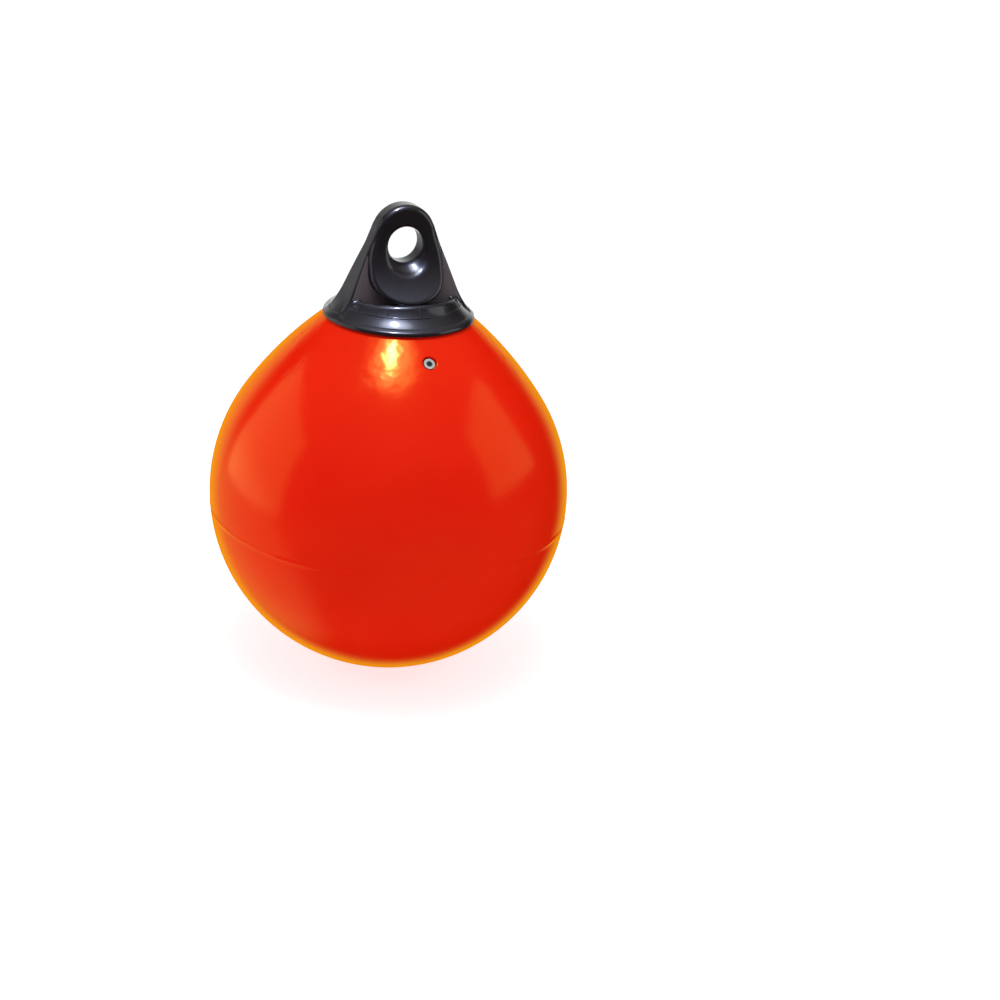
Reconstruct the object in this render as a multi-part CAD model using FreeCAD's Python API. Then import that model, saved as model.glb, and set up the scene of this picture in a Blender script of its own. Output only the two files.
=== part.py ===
import FreeCAD, Part
import math
import os

# Ball fender: an inflatable vinyl ball with a moulded rope hold on its shoulder
# Millimetres, +Z up, origin at the centre of the rope eye, the eye's bore along Y
# The valve is on the front of the ball, which is the -Y side

# Ball, a hollow skin moulded in one piece
ball_radius = 270.0
ball_wall = 2.5
shoulder_latitude = 34.0      # degrees above the equator where the round ball ends
shoulder_radius = 570.0       # the long curve of the shoulder
neck_radius = 105.0           # where the rope hold's rim sits on the shoulder
crown_rise = 16.0             # the crown's top above the rim
crown_radius = 900.0
knuckle_radius = 22.0         # the bend from the shoulder into the crown
seam_drop = 20.0              # the mould's parting line below the ball's centre
seam_height = 2.4
seam_proud = 0.8

# Collar of the rope hold, a turned skirt that flares down to a thin lip on the shoulder
eye_height = 107.0            # the eye's centre above the rim
rim_overhang = 6.0            # how far the rim stands out past the neck
rim_edge = 1.2
lip_height = 4.6
lip_draft = 1.3               # how far the lip leans in over its height
lip_edge = 2.0
flare_radius = 66.0           # the skirt's hollow curve from the lip up to the collar's top
collar_height = 36.0
collar_draw = 30.5            # how far the collar's top lies inside the rim
collar_edge = 3.0
collar_ring = 7.0             # width of the ring that is left round the pocket
pocket_depth = 14.0
pocket_corner = 6.0

# Raised frame on the skirt
frame_count = 12
frame_line_drop = 15.0        # the level line below the collar's top
frame_top_drop = 3.5          # where the upright lines end
frame_width = 1.2
frame_proud = 0.5
frame_sunk = 1.0              # how deep each line is rooted in the skirt

# Plate below the eye, seen along Y: its straight flanks run down to the collar
web_half_width = 53.4         # at the eye's height
web_overhang = 2.4            # how far the flanks stand out past the collar's top
web_thickness = 22.0          # at the eye's height
web_lean = 6.0                # degrees that each face leans out downwards
web_edge = 8.0
web_top = 30.0                # the web ends inside the pad, this far above the eye's centre
web_root = 3.0                # how deep the web stands in the pocket's floor

# Raised pad round the eye on both faces of the plate, thin at its head and thick at its foot
pad_half_width = 50.9         # at the eye's height
pad_flank_angle = 17.5        # degrees from upright
pad_head_radius = 44.5
pad_turn_drop = 2.0           # where the side leaves the flank, below the eye's centre
pad_turn_radius = 90.0
pad_corner_drop = 38.0        # where the side turns into the bottom corner
pad_corner_radius = 36.0
pad_bottom_drop = 78.5
pad_head_thickness = 36.0
pad_hollow_radius = 240.0     # the curve of each face, upright at the top of the head
pad_edge = 11.0

# Eye: a straight wall in the middle, a funnel on both sides and a scoop for the rope below
eye_radius = 26.0
eye_land = 18.0
funnel_angle = 28.0           # degrees from the bore's axis
scoop_radius = 25.0
scoop_angle = 35.0            # degrees below level
scoop_start = 15.4            # where the scoop's axis crosses the bore's axis
mouth_edge = 4.0              # rounding where the eye opens on the pad's faces

# Valve in the shoulder
valve_drop = 28.6             # the valve's centre below the rim
recess_radius = 10.5
recess_depth = 5.0
recess_edge = 1.0
boss_radius = 17.0
boss_depth = 22.0
bush_flange_radius = 8.0
bush_flange_rise = 2.6        # the flange's top above the recess floor
bush_barrel_radius = 7.0
bush_length = 14.0            # below the recess floor
bush_anchor_radius = 9.5
bush_anchor_thickness = 3.0
bush_seat_depth = 4.0
bush_bore_radius = 3.0
air_hole_radius = 3.6
head_clearance = 0.3          # between the screw's head and its seat's wall
thread_clearance = 0.1
screw_head_radius = 4.2
screw_head_height = 3.0
screw_head_chamfer = 0.4
screw_shank_length = 10.0
socket_flats = 4.0
socket_depth = 2.0
seal_thickness = 1.0
seal_clearance = 0.15         # between the ring and the screw's shank

same_length = 0.01            # lengths that differ by less count as equal

UP = FreeCAD.Vector(0, 0, 1)
ACROSS = FreeCAD.Vector(1, 0, 0)
BACK = FreeCAD.Vector(0, 1, 0)
ORIGIN = FreeCAD.Vector(0, 0, 0)


# Profile tools: places are (r, z) pairs, or (x, z) pairs for the plate, drawn at y = 0
def direction(degrees):
    return (math.cos(math.radians(degrees)), math.sin(math.radians(degrees)))


def along(start, unit, distance):
    return (start[0] + unit[0] * distance, start[1] + unit[1] * distance)


def towards(start, end):
    length = math.hypot(end[0] - start[0], end[1] - start[1])
    return ((end[0] - start[0]) / length, (end[1] - start[1]) / length)


def point(place):
    return FreeCAD.Vector(place[0], 0, place[1])


def line(start, end):
    return Part.LineSegment(point(start), point(end)).toShape()


def arc(centre, radius, start, end):
    """The shorter arc from start to end about a centre."""
    chord_middle = ((start[0] + end[0]) / 2, (start[1] + end[1]) / 2)
    middle = along(centre, towards(centre, chord_middle), radius)
    return Part.Arc(point(start), point(middle), point(end)).toShape()


def turned(edges):
    """Solid of revolution about Z from a closed run of profile edges."""
    return Part.Face(Part.Wire(edges)).revolve(ORIGIN, UP, 360)


# The ball's shoulder, knuckle and crown are arcs that run on smoothly from the round ball
rim_z = -eye_height
crown_z = rim_z + crown_rise
crown_centre = (0.0, crown_z - crown_radius)
shoulder_unit = direction(shoulder_latitude)
shoulder_offset = along((0.0, 0.0), shoulder_unit, ball_radius - shoulder_radius)
neck_reach = math.sqrt(shoulder_radius ** 2 - (neck_radius - shoulder_offset[0]) ** 2)
shoulder_centre = (shoulder_offset[0], rim_z - neck_reach)
ball_centre = (0.0, shoulder_centre[1] - shoulder_offset[1])


def find_knuckle():
    """Centre of the knuckle, which touches both the shoulder and the crown from inside."""
    low_reach = shoulder_radius - knuckle_radius
    high_reach = crown_radius - knuckle_radius
    unit = towards(shoulder_centre, crown_centre)
    gap = math.hypot(crown_centre[0] - shoulder_centre[0], crown_centre[1] - shoulder_centre[1])
    foot = (gap ** 2 + low_reach ** 2 - high_reach ** 2) / (2 * gap)
    side = math.sqrt(low_reach ** 2 - foot ** 2)
    return along(along(shoulder_centre, unit, foot), (-unit[1], unit[0]), side)


knuckle_centre = find_knuckle()
knuckle_low_unit = towards(shoulder_centre, knuckle_centre)
knuckle_high_unit = towards(crown_centre, knuckle_centre)


def top_of_skin(inset, shoulder_start):
    """Shoulder, knuckle and crown moved inwards by inset, from a place on the shoulder up."""
    shoulder_end = along(shoulder_centre, knuckle_low_unit, shoulder_radius - inset)
    crown_start = along(crown_centre, knuckle_high_unit, crown_radius - inset)
    crown_end = (0.0, crown_z - inset)
    return [arc(shoulder_centre, shoulder_radius - inset, shoulder_start, shoulder_end),
            arc(knuckle_centre, knuckle_radius - inset, shoulder_end, crown_start),
            arc(crown_centre, crown_radius - inset, crown_start, crown_end)]


def ball_outside():
    """The outer form of the ball, with the thin bead that the mould's parting line leaves."""
    bottom = (0.0, ball_centre[1] - ball_radius)
    round_end = along(ball_centre, shoulder_unit, ball_radius)
    low_drop = seam_drop + seam_height / 2
    high_drop = seam_drop - seam_height / 2
    bead_low = (math.sqrt(ball_radius ** 2 - low_drop ** 2), ball_centre[1] - low_drop)
    bead_high = (math.sqrt(ball_radius ** 2 - high_drop ** 2), ball_centre[1] - high_drop)
    crest = (math.sqrt(ball_radius ** 2 - seam_drop ** 2) + seam_proud, ball_centre[1] - seam_drop)
    bead = Part.Arc(point(bead_low), point(crest), point(bead_high)).toShape()
    edges = [arc(ball_centre, ball_radius, bottom, bead_low), bead,
             arc(ball_centre, ball_radius, bead_high, round_end)]
    edges += top_of_skin(0.0, round_end)
    edges.append(line((0.0, crown_z), bottom))
    return turned(edges)


def ball_inside():
    """The air space of the ball, one wall inside its outer form."""
    radius = ball_radius - ball_wall
    bottom = (0.0, ball_centre[1] - radius)
    side = (radius, ball_centre[1])
    round_end = along(ball_centre, shoulder_unit, radius)
    edges = [arc(ball_centre, radius, bottom, side), arc(ball_centre, radius, side, round_end)]
    edges += top_of_skin(ball_wall, round_end)
    edges.append(line((0.0, crown_z - ball_wall), bottom))
    return turned(edges)


# The valve's axis stands square to the shoulder on the front of the ball
valve_z = rim_z - valve_drop
valve_reach = math.sqrt(shoulder_radius ** 2 - (valve_z - shoulder_centre[1]) ** 2)
valve_r = shoulder_centre[0] + valve_reach
valve_unit = towards(shoulder_centre, (valve_r, valve_z))
valve_out = FreeCAD.Vector(0, -valve_unit[0], valve_unit[1])
valve_centre = FreeCAD.Vector(0, -valve_r, valve_z)

# Heights along that axis, measured from the ball's surface
recess_floor = -recess_depth
flange_top = recess_floor + bush_flange_rise
seat_floor = flange_top - bush_seat_depth
bush_bottom = recess_floor - bush_length
head_bottom = seat_floor + seal_thickness
head_top_level = head_bottom + screw_head_height
shank_radius = bush_bore_radius - thread_clearance


def on_valve(radius, low, high):
    """Cylinder on the valve's axis between two heights."""
    return Part.makeCylinder(radius, high - low, valve_centre + valve_out * low, valve_out)


def bush_form():
    """The bush's outer form: a flange, a barrel and an anchor ring that holds it in the boss."""
    barrel = on_valve(bush_barrel_radius, bush_bottom, flange_top)
    flange = on_valve(bush_flange_radius, recess_floor, flange_top)
    anchor = on_valve(bush_anchor_radius, bush_bottom, bush_bottom + bush_anchor_thickness)
    return barrel.fuse([flange, anchor]).removeSplitter()


def on_recess_mouth(edge):
    """Whether an edge lies on the ring where the recess opens on the shoulder."""
    for place in [vertex.Point for vertex in edge.Vertexes]:
        offset = place - valve_centre
        height = offset.dot(valve_out)
        off_axis = (offset - valve_out * height).Length
        if abs(height) > recess_depth / 2 or abs(off_axis - recess_radius) > same_length:
            return False
    return True


def make_body():
    """The ball's skin with a recess on its shoulder and a boss inside that holds the bush."""
    outside = ball_outside()
    boss = on_valve(boss_radius, -boss_depth, boss_radius).common(outside)
    body = outside.cut(ball_inside().cut(boss))
    recess = on_valve(recess_radius, recess_floor, boss_radius)
    air_hole = on_valve(air_hole_radius, -boss_depth - boss_radius, bush_bottom)
    body = body.cut([recess, bush_form(), air_hole])
    rims = [edge for edge in body.Edges if on_recess_mouth(edge)]
    return body.makeFillet(recess_edge, rims)


def make_bush():
    seat = on_valve(screw_head_radius + head_clearance, seat_floor, flange_top)
    bore = on_valve(bush_bore_radius, bush_bottom, flange_top)
    return bush_form().cut([seat, bore])


def make_seal():
    ring = on_valve(screw_head_radius, seat_floor, head_bottom)
    return ring.cut(on_valve(shank_radius + seal_clearance, seat_floor, head_bottom))


def make_screw():
    """Screw plug with a chamfered round head and a hexagon socket."""
    straight_top = head_top_level - screw_head_chamfer
    head = on_valve(screw_head_radius, head_bottom, straight_top)
    chamfer = Part.makeCone(screw_head_radius, screw_head_radius - screw_head_chamfer,
                            screw_head_chamfer, valve_centre + valve_out * straight_top, valve_out)
    shank = on_valve(shank_radius, head_bottom - screw_shank_length, head_bottom)
    corner_radius = socket_flats / math.sqrt(3)
    corners = [point(along((0.0, 0.0), direction(60 * step), corner_radius)) for step in range(7)]
    socket = Part.Face(Part.makePolygon(corners)).extrude(BACK * screw_head_height)
    socket.Placement = FreeCAD.Placement(valve_centre + valve_out * (head_top_level - socket_depth),
                                         FreeCAD.Rotation(BACK, valve_out))
    return head.fuse([chamfer, shank]).removeSplitter().cut(socket)


# Rope hold: a turned collar, a plate with a thick pad on both faces, and the eye through both
rim_radius = neck_radius + rim_overhang
collar_top_radius = rim_radius - collar_draw
collar_top_z = rim_z + collar_height
pocket_radius = collar_top_radius - collar_ring
pocket_floor_z = collar_top_z - pocket_depth
lip_top = (rim_radius - lip_draft, rim_z + lip_height)
collar_top = (collar_top_radius, collar_top_z)
flare_chord = math.hypot(collar_top[0] - lip_top[0], collar_top[1] - lip_top[1])
flare_middle = along(lip_top, towards(lip_top, collar_top), flare_chord / 2)
flare_outward = (towards(lip_top, collar_top)[1], towards(collar_top, lip_top)[0])
flare_centre = along(flare_middle, flare_outward, math.sqrt(flare_radius ** 2 - flare_chord ** 2 / 4))


def ring_edges(solid, place):
    """The circular edges of a turned solid that run through an (r, z) place."""
    found = []
    for edge in solid.Edges:
        if edge.Degenerated or not isinstance(edge.Curve, Part.Circle):
            continue
        circle = edge.Curve
        if math.hypot(circle.Radius - place[0], circle.Center.z - place[1]) < same_length:
            found.append(edge)
    return found


def make_collar():
    """The turned collar, drawn with sharp corners and then rounded ring by ring."""
    rim = (rim_radius, rim_z)
    ring_inside = (pocket_radius, collar_top_z)
    pocket_foot = (pocket_radius, pocket_floor_z)
    places = [collar_top, ring_inside, pocket_foot, (0.0, pocket_floor_z), (0.0, crown_z)]
    edges = [line((neck_radius, rim_z), rim), line(rim, lip_top),
             arc(flare_centre, flare_radius, lip_top, collar_top)]
    edges += [line(start, end) for start, end in zip(places, places[1:])]
    collar = turned(edges + top_of_skin(0.0, (neck_radius, rim_z)))
    for place, radius in [(rim, rim_edge), (lip_top, lip_edge), (collar_top, collar_edge),
                          (ring_inside, collar_edge), (pocket_foot, pocket_corner)]:
        collar = collar.makeFillet(radius, ring_edges(collar, place))
    return collar


def on_flare(height, out):
    """Place at a height on the skirt, moved out from it towards the centre of its curve."""
    rise = height - flare_centre[1]
    place = (flare_centre[0] - math.sqrt(flare_radius ** 2 - rise ** 2), height)
    return along(place, towards(place, flare_centre), out)


def frame_strip(low, high):
    """Flat outline that stands proud of the skirt between two heights and is rooted in it."""
    low_out = on_flare(low, frame_proud)
    high_out = on_flare(high, frame_proud)
    low_in = on_flare(low, -frame_sunk)
    high_in = on_flare(high, -frame_sunk)
    edges = [arc(flare_centre, flare_radius - frame_proud, low_out, high_out),
             line(high_out, high_in),
             arc(flare_centre, flare_radius + frame_sunk, high_in, low_in),
             line(low_in, low_out)]
    return Part.Face(Part.Wire(edges))


def make_frame():
    """A level line round the skirt with upright lines from it to the collar's top."""
    line_z = collar_top_z - frame_line_drop
    ring = frame_strip(line_z - frame_width / 2, line_z + frame_width / 2).revolve(ORIGIN, UP, 360)
    uprights = []
    for step in range(frame_count):
        upright = frame_strip(line_z, collar_top_z - frame_top_drop).extrude(BACK * frame_width)
        upright.translate(BACK * (-frame_width / 2))
        upright.rotate(ORIGIN, UP, 360.0 / frame_count * step)
        uprights.append(upright)
    return ring.fuse(uprights)


def flank(half_width, slope, height):
    """Place on a straight flank, from half the width at the eye's height."""
    return (half_width - height * slope, height)


def slab(right_half, thickness):
    """Plate of an outline that is given by its right half, centred on y = 0."""
    half = Part.Wire(right_half)
    outline = Part.Wire(Part.__sortEdges__(half.Edges + half.mirror(ORIGIN, ACROSS).Edges))
    solid = Part.Face(outline).extrude(BACK * thickness)
    solid.translate(BACK * (-thickness / 2))
    return solid


def is_flank_edge(edge):
    """The four sloping edges of the web are the only ones that run across, back and up."""
    box = edge.BoundBox
    return min(box.XLength, box.YLength, box.ZLength) > web_edge


def make_web():
    """The plate below the head: straight flanks and faces that lean out towards the collar."""
    foot = pocket_floor_z - web_root
    foot_half = web_thickness / 2 - foot * math.tan(math.radians(web_lean))
    top_half = web_thickness / 2 - web_top * math.tan(math.radians(web_lean))
    slope = (collar_top_radius + web_overhang - web_half_width) / -collar_top_z
    top_corner = flank(web_half_width, slope, web_top)
    foot_corner = flank(web_half_width, slope, foot)
    front = slab([line((0.0, web_top), top_corner), line(top_corner, foot_corner),
                  line(foot_corner, (0.0, foot))], 2 * foot_half)
    side = Part.makePolygon([FreeCAD.Vector(0, -top_half, web_top),
                             FreeCAD.Vector(0, top_half, web_top),
                             FreeCAD.Vector(0, foot_half, foot),
                             FreeCAD.Vector(0, -foot_half, foot),
                             FreeCAD.Vector(0, -top_half, web_top)])
    wedge = Part.Face(side).extrude(ACROSS * (2 * rim_radius))
    wedge.translate(ACROSS * -rim_radius)
    web = front.common(wedge)
    rims = [edge for edge in web.Edges if is_flank_edge(edge)]
    return web.makeFillet(web_edge, rims)


def pad_outline():
    """Right half of the pad: head, flank, turn, side, corner and bottom."""
    flank_unit = direction(pad_flank_angle)
    lean = math.radians(pad_flank_angle)
    head_centre = (0.0, pad_half_width / math.tan(lean) - pad_head_radius / math.sin(lean))
    tangent = along(head_centre, flank_unit, pad_head_radius)
    leave = flank(pad_half_width, math.tan(lean), -pad_turn_drop)
    turn_centre = along(leave, flank_unit, -pad_turn_radius)
    turn_end = along(turn_centre, direction(0), pad_turn_radius)
    corner_start = (turn_end[0], -pad_corner_drop)
    corner_centre = along(corner_start, direction(0), -pad_corner_radius)
    # The bottom's circle is centred on x = 0 and holds the corner's circle touching it inside
    depth = pad_bottom_drop - pad_corner_drop
    spread = depth ** 2 + corner_centre[0] ** 2 - pad_corner_radius ** 2
    bottom_radius = spread / (2 * (depth - pad_corner_radius))
    bottom_centre = (0.0, bottom_radius - pad_bottom_drop)
    touch = along(bottom_centre, towards(bottom_centre, corner_centre), bottom_radius)
    return [arc(head_centre, pad_head_radius, (0.0, head_centre[1] + pad_head_radius), tangent),
            line(tangent, leave),
            arc(turn_centre, pad_turn_radius, leave, turn_end),
            line(turn_end, corner_start),
            arc(corner_centre, pad_corner_radius, corner_start, touch),
            arc(bottom_centre, bottom_radius, touch, (0.0, -pad_bottom_drop))]


def hollow_faces(shape):
    """The two faces that the pad's hollow leaves, front and back."""
    found = []
    for face in shape.Faces:
        if isinstance(face.Surface, Part.Cylinder):
            if abs(face.Surface.Radius - pad_hollow_radius) < same_length:
                found.append(face)
    return found


def make_pad():
    """The thick pad: one outline through both faces, each face hollowed along X."""
    outline = pad_outline()
    head_top = Part.Wire(outline).BoundBox.ZMax
    hollow_y = pad_head_thickness / 2 + pad_hollow_radius
    pad = slab(outline, pad_hollow_radius)
    for side in (-1, 1):
        start = FreeCAD.Vector(-rim_radius, side * hollow_y, head_top)
        pad = pad.cut(Part.makeCylinder(pad_hollow_radius, 2 * rim_radius, start, ACROSS))
    rims = []
    for face in hollow_faces(pad):
        rims += face.Edges
    return pad.makeFillet(pad_edge, rims)


def make_eye():
    """Cutter for the eye: bore, a funnel to each side and a scoop that leads the rope down."""
    reach = pocket_radius
    cutter = Part.makeCylinder(eye_radius, 2 * reach, BACK * -reach, BACK)
    for side in (-1, 1):
        funnel_length = reach - eye_land / 2
        wide = eye_radius + funnel_length * math.tan(math.radians(funnel_angle))
        funnel = Part.makeCone(eye_radius, wide, funnel_length,
                               BACK * (side * eye_land / 2), BACK * side)
        level, down = direction(-scoop_angle)
        scoop = Part.makeCylinder(scoop_radius, reach, BACK * (side * scoop_start),
                                  FreeCAD.Vector(0, side * level, down))
        cutter = cutter.fuse([funnel, scoop])
    return cutter


def make_rope_hold():
    """Collar, frame, web and pad as one solid with the eye cut through."""
    hold = make_collar().fuse([make_frame(), make_web(), make_pad()]).removeSplitter()
    hold = hold.cut(make_eye()).Solids[0]
    mouths = []
    for face in hollow_faces(hold):
        for wire in face.Wires:
            if not wire.isSame(face.OuterWire):
                mouths += wire.Edges
    return hold.makeFillet(mouth_edge, mouths)


def write(name, shape):
    """Check that a piece is one sound solid and write it to its own file."""
    if len(shape.Solids) != 1 or not shape.isValid():
        raise ValueError(name + " is not one sound solid")
    solid = shape.Solids[0]
    solid.exportStep("parts/" + name + ".step")
    box = solid.BoundBox
    print(name, round(solid.Volume / 1000, 1), "cm3", round(box.XLength, 1), "x",
          round(box.YLength, 1), "x", round(box.ZLength, 1), "mm")


os.makedirs("parts", exist_ok=True)
write("body", make_body())
write("rope_hold", make_rope_hold())
write("valve_bush", make_bush())
write("valve_seal", make_seal())
write("valve_screw", make_screw())
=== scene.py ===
# %% [markdown]
# # Ball fender
# A ball fender is an air-filled vinyl ball that hangs between a boat and what the boat could hit.
# This one has a smooth orange skin, a black moulded rope hold on its shoulder and a small screw
# valve under the rim of the hold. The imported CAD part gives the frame: every piece made here stays
# where the CAD solid is, and inside its box.

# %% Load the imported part
import math
import bpy
import numpy as np
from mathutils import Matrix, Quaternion, Vector


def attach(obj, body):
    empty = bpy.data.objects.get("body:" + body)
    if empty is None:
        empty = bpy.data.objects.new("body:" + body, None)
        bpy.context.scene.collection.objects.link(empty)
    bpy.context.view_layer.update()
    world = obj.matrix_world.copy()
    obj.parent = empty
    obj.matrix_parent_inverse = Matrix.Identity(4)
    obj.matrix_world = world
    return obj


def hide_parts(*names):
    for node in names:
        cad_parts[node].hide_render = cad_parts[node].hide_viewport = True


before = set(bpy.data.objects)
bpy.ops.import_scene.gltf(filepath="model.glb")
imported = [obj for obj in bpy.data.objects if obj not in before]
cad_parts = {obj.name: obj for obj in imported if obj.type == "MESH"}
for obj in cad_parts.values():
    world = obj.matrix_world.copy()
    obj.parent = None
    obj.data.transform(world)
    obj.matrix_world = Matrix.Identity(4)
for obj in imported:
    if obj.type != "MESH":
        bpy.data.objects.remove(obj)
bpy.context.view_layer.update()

MM = 0.001
print("nodes:", sorted(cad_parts))

# %% [markdown]
# ## Helpers for mesh code
# Both big pieces are made from numbers rather than from primitives, so a mesh is filled straight
# from arrays. Positions are kept in millimetres, as on a drawing, and scaled to metres in this one
# place.


# %% Make a mesh piece from arrays
def add_object(name, data):
    """A new object in the scene, made of a mesh, a lamp or a camera."""
    thing = bpy.data.objects.new(name, data)
    bpy.context.scene.collection.objects.link(thing)
    return thing


def make_piece(name, positions, faces, slot, node):
    """A smooth-shaded mesh that stands for a CAD node and rides on the fender."""
    mesh = bpy.data.meshes.new(name)
    mesh.from_pydata((np.asarray(positions) * MM).tolist(), [], faces)
    mesh.shade_smooth()
    mesh.update()
    piece = add_object(name, mesh)
    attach(piece, "root")
    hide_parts(node)
    print(name, len(mesh.vertices), "vertices", len(mesh.polygons), "faces")
    return piece


# %% [markdown]
# ## The skin of the ball
# The real ball is rotomoulded, so its outside is one turned form: a round ball, a long shoulder arc
# up to the neck, and a crown that the rope hold covers. It could be a profile under a Screw
# modifier. A lathe in code gives the same clean, even quads, and it can put a ring of them exactly
# through the valve. Even quads matter here, because a glossy surface shows every uneven facet in
# its reflections.

# %% Sizes of the ball
BALL_RADIUS = 270.0
SHOULDER_START = math.radians(34.0)
SHOULDER_RADIUS = 570.0
NECK_RADIUS = 105.0
RIM_Z = -107.0
CROWN_TOP = RIM_Z + 16.0

shoulder_r = (BALL_RADIUS - SHOULDER_RADIUS) * math.cos(SHOULDER_START)
shoulder_z = RIM_Z - math.sqrt(SHOULDER_RADIUS ** 2 - (NECK_RADIUS - shoulder_r) ** 2)
ball_z = shoulder_z - (BALL_RADIUS - SHOULDER_RADIUS) * math.sin(SHOULDER_START)
neck_angle = math.acos((NECK_RADIUS - shoulder_r) / SHOULDER_RADIUS)
print("ball's centre z", round(ball_z, 2), "bottom", round(ball_z - BALL_RADIUS, 2))

# %% The valve's place on the shoulder
VALVE_DROP = 28.6
valve_z = RIM_Z - VALVE_DROP
valve_angle = math.asin((valve_z - shoulder_z) / SHOULDER_RADIUS)
valve_r = shoulder_r + SHOULDER_RADIUS * math.cos(valve_angle)
valve_centre = np.array([0.0, -valve_r, valve_z])
valve_out = np.array([0.0, -math.cos(valve_angle), math.sin(valve_angle)])
valve_up = np.array([0.0, math.sin(valve_angle), math.cos(valve_angle)])
valve_side = np.array([1.0, 0.0, 0.0])
print("valve's centre", valve_centre.round(2))

# %% Rings of the ball, with the mould's parting line below its middle
SEAM_DROP = 20.0
SEAM_HALF = 1.2
SEAM_PROUD = 0.45
SEAM_SHARES = (0.25, 0.5, 0.75)
RINGS_BELOW_SEAM = 61
RINGS_ABOVE_SEAM = 36


def ball_rings():
    """(r, z) places from the bottom of the ball to the start of the shoulder."""
    low = -math.asin((SEAM_DROP + SEAM_HALF) / BALL_RADIUS)
    high = -math.asin((SEAM_DROP - SEAM_HALF) / BALL_RADIUS)
    lower = np.linspace(-math.pi / 2, low, RINGS_BELOW_SEAM + 1)[1:]
    upper = np.linspace(high, SHOULDER_START, RINGS_ABOVE_SEAM)
    places = [(BALL_RADIUS, angle) for angle in lower]
    for share in SEAM_SHARES:
        proud = SEAM_PROUD * math.sin(math.pi * share)
        places.append((BALL_RADIUS + proud, low + (high - low) * share))
    places += [(BALL_RADIUS, angle) for angle in upper]
    return [(radius * math.cos(angle), ball_z + radius * math.sin(angle))
            for radius, angle in places]


# %% Rings of the shoulder and the crown
MERIDIANS = 360
BLOCK = 6
EVEN_RINGS_BELOW_VALVE = BLOCK + 22
WIDER_RINGS = 8
CROWN_RINGS = (98.0, 85.0, 60.0, 30.0)
CROWN_FALL = 8.0
ring_step = valve_r * 2 * math.pi / MERIDIANS / SHOULDER_RADIUS


def shoulder_rings():
    """(r, z) places up the shoulder, as far apart round the valve as the meridians are there."""
    start = valve_angle - EVEN_RINGS_BELOW_VALVE * ring_step
    angles = list(np.linspace(SHOULDER_START, start, WIDER_RINGS + 2)[1:-1])
    angles += [start + number * ring_step
               for number in range(int((neck_angle - start) / ring_step))]
    return [(shoulder_r + SHOULDER_RADIUS * math.cos(angle),
             shoulder_z + SHOULDER_RADIUS * math.sin(angle)) for angle in angles]


skin_rings = ball_rings()
valve_ring = len(skin_rings) + WIDER_RINGS + EVEN_RINGS_BELOW_VALVE
skin_rings += shoulder_rings() + [(NECK_RADIUS, RIM_Z)]
skin_rings += [(radius, CROWN_TOP - (radius / CROWN_RINGS[0]) ** 2 * CROWN_FALL)
               for radius in CROWN_RINGS]
print(len(skin_rings), "rings of", MERIDIANS, "places, valve on ring", valve_ring)


# %% Lathe the skin, with a square block left out at the valve
def at(ring, column):
    """Number of a grid place; place 0 is the single one at the very bottom."""
    return 1 + ring * MERIDIANS + column % MERIDIANS


def unit_circle(count, start):
    """Places round a circle of radius 1, from a start angle on."""
    turn = start + np.arange(count) * 2 * math.pi / count
    return np.stack([np.cos(turn), np.sin(turn)], 1)


def lathe():
    """Positions and faces of the turned skin."""
    around = unit_circle(MERIDIANS, -math.pi / 2)
    positions = [np.array([[0.0, 0.0, ball_z - BALL_RADIUS]])]
    for radius, height in skin_rings:
        positions.append(np.column_stack([around * radius, np.full(MERIDIANS, height)]))
    positions = np.concatenate(positions + [np.array([[0.0, 0.0, CROWN_TOP]])])
    columns = range(MERIDIANS)
    last = len(skin_rings) - 1
    faces = [(0, at(0, column + 1), at(0, column)) for column in columns]
    for ring in range(last):
        for column in columns:
            nearest = min(column, MERIDIANS - 1 - column)
            if abs(ring + 0.5 - valve_ring) < BLOCK and nearest < BLOCK:
                continue
            faces.append((at(ring, column), at(ring, column + 1),
                          at(ring + 1, column + 1), at(ring + 1, column)))
    top = len(positions) - 1
    faces += [(at(last, column), at(last, column + 1), top) for column in columns]
    return positions, faces


# %% [markdown]
# ### The valve's recess
# The recess is a small round pit with a soft lip. Cutting it with a boolean would leave long thin
# faces and a dent in the shading. So the square block of the grid stays open, and the hole is
# closed with rings that change from the square to a circle and then go down into the pit.

# %% Profile of the recess
RECESS_RADIUS = 10.5
LIP_ROUND = 1.0
LIP_OUTSIDE = 12.6
SQUARE_TO_CIRCLE = (0.35, 0.7)
SKIN_ROUNDS = 6
LIP = [(LIP_OUTSIDE, 0.0), (12.0, 0.0)]
LIP += [(RECESS_RADIUS + LIP_ROUND * (1.0 - math.sin(turn)), LIP_ROUND * (math.cos(turn) - 1.0))
        for turn in np.radians([0, 18, 36, 54, 72, 90])]
PIT = ((RECESS_RADIUS, -2.6), (RECESS_RADIUS, -8.4), (10.38, -8.8), (10.0, -9.0), (8.6, -9.0),
       (8.3, -8.7), (8.2, -5.4), (7.8, -5.0), (5.0, -5.0))
print("recess", 2 * RECESS_RADIUS, "mm wide, ring", -min(depth for _, depth in PIT), "mm deep")


# %% Rings of places from the square over the lip into the pit
def in_plane(offsets):
    """Places in the plane through the valve's centre that is square to its axis."""
    return valve_centre + np.outer(offsets[:, 0], valve_side) + np.outer(offsets[:, 1], valve_up)


def on_skin(offsets):
    """The same places, moved along the valve's axis until they lie on the skin."""
    flat = in_plane(offsets)
    height = np.zeros(len(flat))
    for _ in range(SKIN_ROUNDS):
        spot = flat + np.outer(height, valve_out)
        reach = np.hypot(np.hypot(spot[:, 0], spot[:, 1]) - shoulder_r, spot[:, 2] - shoulder_z)
        height -= reach - SHOULDER_RADIUS
    return flat + np.outer(height, valve_out)


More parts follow.
